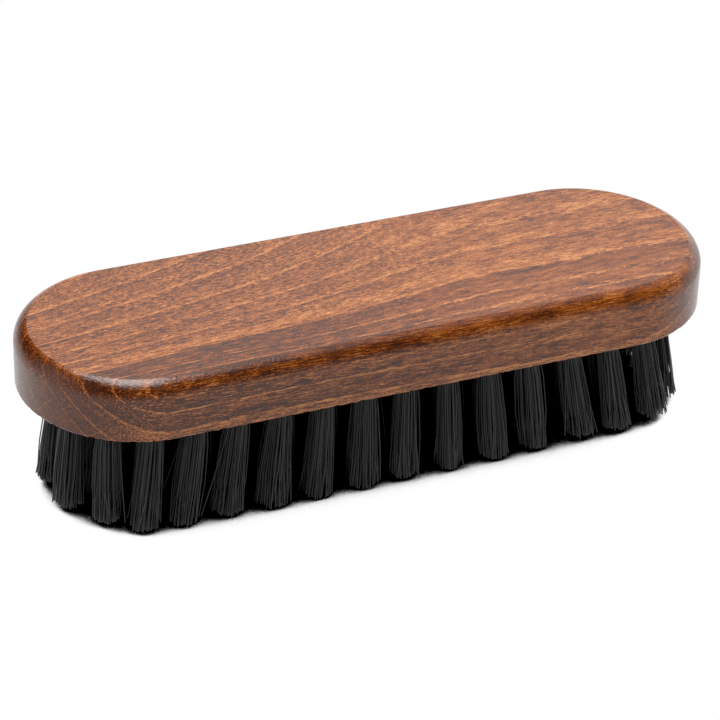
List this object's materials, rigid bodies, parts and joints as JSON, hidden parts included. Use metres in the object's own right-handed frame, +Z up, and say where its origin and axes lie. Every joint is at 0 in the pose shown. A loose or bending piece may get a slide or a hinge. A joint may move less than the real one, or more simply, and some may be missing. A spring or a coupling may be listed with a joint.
{
  "type": "leather cleaning brush",
  "caption": "Hand brush with a long round-ended wooden block, a rounded top edge and tufts of black bristle set in drilled holes.",
  "frame": {"origin": "under the middle of the block, on the plane that the bristle tips stand on", "axes": "+Z up from the bristle tips to the block's top, +X along the block, -Y towards the viewer's side"},
  "size_m": [0.15, 0.051, 0.0383],
  "materials": {
    "stained_beech": "brown stained beech under clear satin lacquer",
    "black_bristle": "black filament, slightly glossy along its length"
  },
  "bodies": {
    "root": {"beech_block": "stained_beech", "ring_tuft_01": "black_bristle", "ring_tuft_02": "black_bristle", "ring_tuft_03": "black_bristle", "ring_tuft_04": "black_bristle", "ring_tuft_05": "black_bristle", "ring_tuft_06": "black_bristle", "ring_tuft_07": "black_bristle", "ring_tuft_08": "black_bristle", "ring_tuft_09": "black_bristle", "ring_tuft_10": "black_bristle", "ring_tuft_11": "black_bristle", "ring_tuft_12": "black_bristle", "ring_tuft_13": "black_bristle", "ring_tuft_14": "black_bristle", "ring_tuft_15": "black_bristle", "ring_tuft_16": "black_bristle", "ring_tuft_17": "black_bristle", "ring_tuft_18": "black_bristle", "ring_tuft_19": "black_bristle", "ring_tuft_20": "black_bristle", "ring_tuft_21": "black_bristle", "ring_tuft_22": "black_bristle", "ring_tuft_23": "black_bristle", "ring_tuft_24": "black_bristle", "ring_tuft_25": "black_bristle", "ring_tuft_26": "black_bristle", "ring_tuft_27": "black_bristle", "ring_tuft_28": "black_bristle", "ring_tuft_29": "black_bristle", "ring_tuft_30": "black_bristle", "ring_tuft_31": "black_bristle", "ring_tuft_32": "black_bristle", "ring_tuft_33": "black_bristle", "near_row_tuft_01": "black_bristle", "near_row_tuft_02": "black_bristle", "near_row_tuft_03": "black_bristle", "near_row_tuft_04": "black_bristle", "near_row_tuft_05": "black_bristle", "near_row_tuft_06": "black_bristle", "near_row_tuft_07": "black_bristle", "near_row_tuft_08": "black_bristle", "near_row_tuft_09": "black_bristle", "near_row_tuft_10": "black_bristle", "near_row_tuft_11": "black_bristle", "far_row_tuft_01": "black_bristle", "far_row_tuft_02": "black_bristle", "far_row_tuft_03": "black_bristle", "far_row_tuft_04": "black_bristle", "far_row_tuft_05": "black_bristle", "far_row_tuft_06": "black_bristle", "far_row_tuft_07": "black_bristle", "far_row_tuft_08": "black_bristle", "far_row_tuft_09": "black_bristle", "far_row_tuft_10": "black_bristle", "far_row_tuft_11": "black_bristle", "right_end_tuft": "black_bristle", "left_end_tuft": "black_bristle"}
  },
  "joints": []
}
